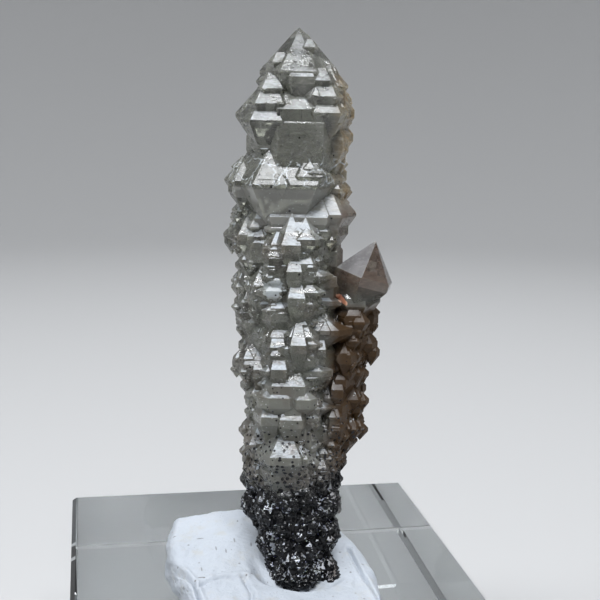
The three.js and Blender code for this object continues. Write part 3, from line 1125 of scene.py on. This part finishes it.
def block_surface(look):
    """Clear polished acrylic with faintly rubbed patches and dust on it."""
    s = Surface("acrylic")
    place = s.in_mm()
    rubbed = s.noise(place, 0.12, 4, 0.6).rise(0.45, 0.8)
    clear = s.body(
        Base_Color=look.tint,
        Roughness=0.01 + look.rubbed * rubbed,
        IOR=1.49,
        Transmission_Weight=1.0,
    )
    dust = s.body(Base_Color=(0.6, 0.6, 0.6), Roughness=0.8)
    specks = (s.cells(place, 0.55) < 0.03) * s.noise(place, 0.08, 2).rise(0.45, 0.6)
    return s.finish(s.mix(specks * 0.7, clear, dust), s.absorption((0.72, 0.82, 0.84), 4))


def bowl_points(reach):
    """A flat floor that sweeps up into a wall: a profile turned about the vertical axis."""
    bend, wall, steps, spokes = 0.3, 0.5, 24, 128
    flat = np.stack([np.linspace(0.001, reach, 12), np.full(12, -0.1 * MM)], 1)
    angle = np.linspace(0, math.pi / 2, steps)[1:]
    curve = np.stack([reach + bend * np.sin(angle), bend * (1 - np.cos(angle))], 1)
    top = np.array([[reach + bend, bend + wall]])
    profile = np.concatenate([flat, curve, top])
    swing = np.linspace(0, 2 * math.pi, spokes, endpoint=False)
    x = profile[:, :1] * np.cos(swing)
    y = profile[:, :1] * np.sin(swing)
    z = np.repeat(profile[:, 1:], spokes, 1)
    return np.stack([x, y, z], 2)


class SPECIMEN_OT_stage(bpy.types.Operator):
    """Adds the pale floor, the soft lights and the camera"""

    bl_idname = "specimen.stage"
    bl_label = "Stage"

    def execute(self, context):
        look = context.scene.stage_look
        points = bowl_points(look.reach)
        quads, grid, _ = ring_quads(*points.shape[:2])
        mesh = bpy.data.meshes.new("floor")
        faces = quads.tolist() + [grid[0].tolist()]
        mesh.from_pydata(points.reshape(-1, 3), [], faces)
        mesh.shade_smooth()
        floor = new_object("floor", mesh)
        mesh.materials.append(floor_surface(look))
        add_lights()
        add_camera()
        return {"FINISHED"}


def floor_surface(look):
    """Plain pale floor."""
    s = Surface("floor")
    return s.finish(s.body(Base_Color=look.floor, Roughness=0.9))


# Lamps: name, turn from the camera's side and height angle in degrees, width and power
LAMPS = (
    ("key", 4, 63, 0.18, 2.0),
    ("left", -58, 40, 0.2, 1.5),
    ("right", 100, 42, 0.26, 0.5),
    ("back", 180, 55, 0.3, 1.2),
    ("small", 24, 48, 0.05, 0.35),
)
LAMP_DISTANCE = 0.5
LAMP_COLOUR = (0.95, 0.97, 1)
LIT_HEIGHT = 35 * MM
SKY_COLOUR = (0.9, 0.95, 1, 1)
SKY_STRENGTH = 0.2


def add_lights():
    """A dim sky, a high softbox that the caps mirror, softer ones round it and a small lamp."""
    world = bpy.data.worlds.new("studio")
    world.use_nodes = True
    sky = world.node_tree.nodes["Background"]
    sky.inputs["Color"].default_value = SKY_COLOUR
    sky.inputs["Strength"].default_value = SKY_STRENGTH
    bpy.context.scene.world = world
    middle = Vector(FOOT) + Vector((0, 0, LIT_HEIGHT))
    for name, turn, rise, width, power in LAMPS:
        lamp = bpy.data.lights.new(name, "AREA")
        lamp.shape = "SQUARE"
        lamp.size = width
        lamp.energy = power
        lamp.color = LAMP_COLOUR
        light = bpy.data.objects.new(name, lamp)
        bpy.context.scene.collection.objects.link(light)
        angle = TURN + math.radians(turn)
        up = math.radians(rise)
        out = Vector((math.sin(angle) * math.cos(up), -math.cos(angle) * math.cos(up), math.sin(up)))
        light.location = middle + out * LAMP_DISTANCE
        light.rotation_mode = "QUATERNION"
        light.rotation_quaternion = out.to_track_quat("Z", "Y")


def add_camera():
    """The camera at the photograph's viewing angle."""
    lens = bpy.data.cameras.new("camera")
    lens.lens = CAMERA_LENS
    lens.sensor_width = CAMERA_SENSOR
    lens.clip_start = 0.01
    camera = bpy.data.objects.new("camera", lens)
    bpy.context.scene.collection.objects.link(camera)
    heading = Matrix.Rotation(TURN, 3, "Z")
    camera.location = Vector(FOOT) + heading @ Vector((0, -CAMERA_BACK, CAMERA_HEIGHT))
    tilt = Matrix.Rotation(math.pi / 2 - CAMERA_DOWN, 3, "X")
    roll = Matrix.Rotation(CAMERA_ROLL, 3, "Z")
    camera.rotation_euler = (heading @ tilt @ roll).to_euler()
    bpy.context.scene.camera = camera


class SPECIMEN_PT_panel(bpy.types.Panel):
    """Lists the specimen's pieces"""

    bl_idname = "SPECIMEN_PT_panel"
    bl_label = "Quartz specimen"
    bl_space_type = "VIEW_3D"
    bl_region_type = "UI"
    bl_category = "Specimen"

    def draw(self, context):
        for look in LOOKS:
            settings = getattr(context.scene, look)
            for name in settings.__annotations__:
                self.layout.prop(settings, name)
        for operator in OPERATORS:
            self.layout.operator(operator.bl_idname)


LOOKS = {
    "quartz_look": QuartzLook,
    "putty_look": PuttyLook,
    "block_look": BlockLook,
    "stage_look": StageLook,
}
OPERATORS = (
    SPECIMEN_OT_quartz,
    SPECIMEN_OT_putty,
    SPECIMEN_OT_block,
    SPECIMEN_OT_stage,
)


def register():
    """Adds the settings, the operators and the panel to Blender."""
    for name, look in LOOKS.items():
        bpy.utils.register_class(look)
        setattr(bpy.types.Scene, name, bpy.props.PointerProperty(type=look))
    for cls in (*OPERATORS, SPECIMEN_PT_panel):
        bpy.utils.register_class(cls)


def unregister():
    """Takes the settings, the operators and the panel out of Blender."""
    for cls in (SPECIMEN_PT_panel, *reversed(OPERATORS)):
        bpy.utils.unregister_class(cls)
    for name, look in LOOKS.items():
        delattr(bpy.types.Scene, name)
        bpy.utils.unregister_class(look)


def main():
    """Builds the stage and the pieces."""
    register()
    bpy.context.scene.view_settings.view_transform = "Standard"
    bpy.ops.specimen.stage()
    bpy.ops.specimen.block()
    bpy.ops.specimen.putty()
    bpy.ops.specimen.quartz()


if __name__ == "__main__":
    main()
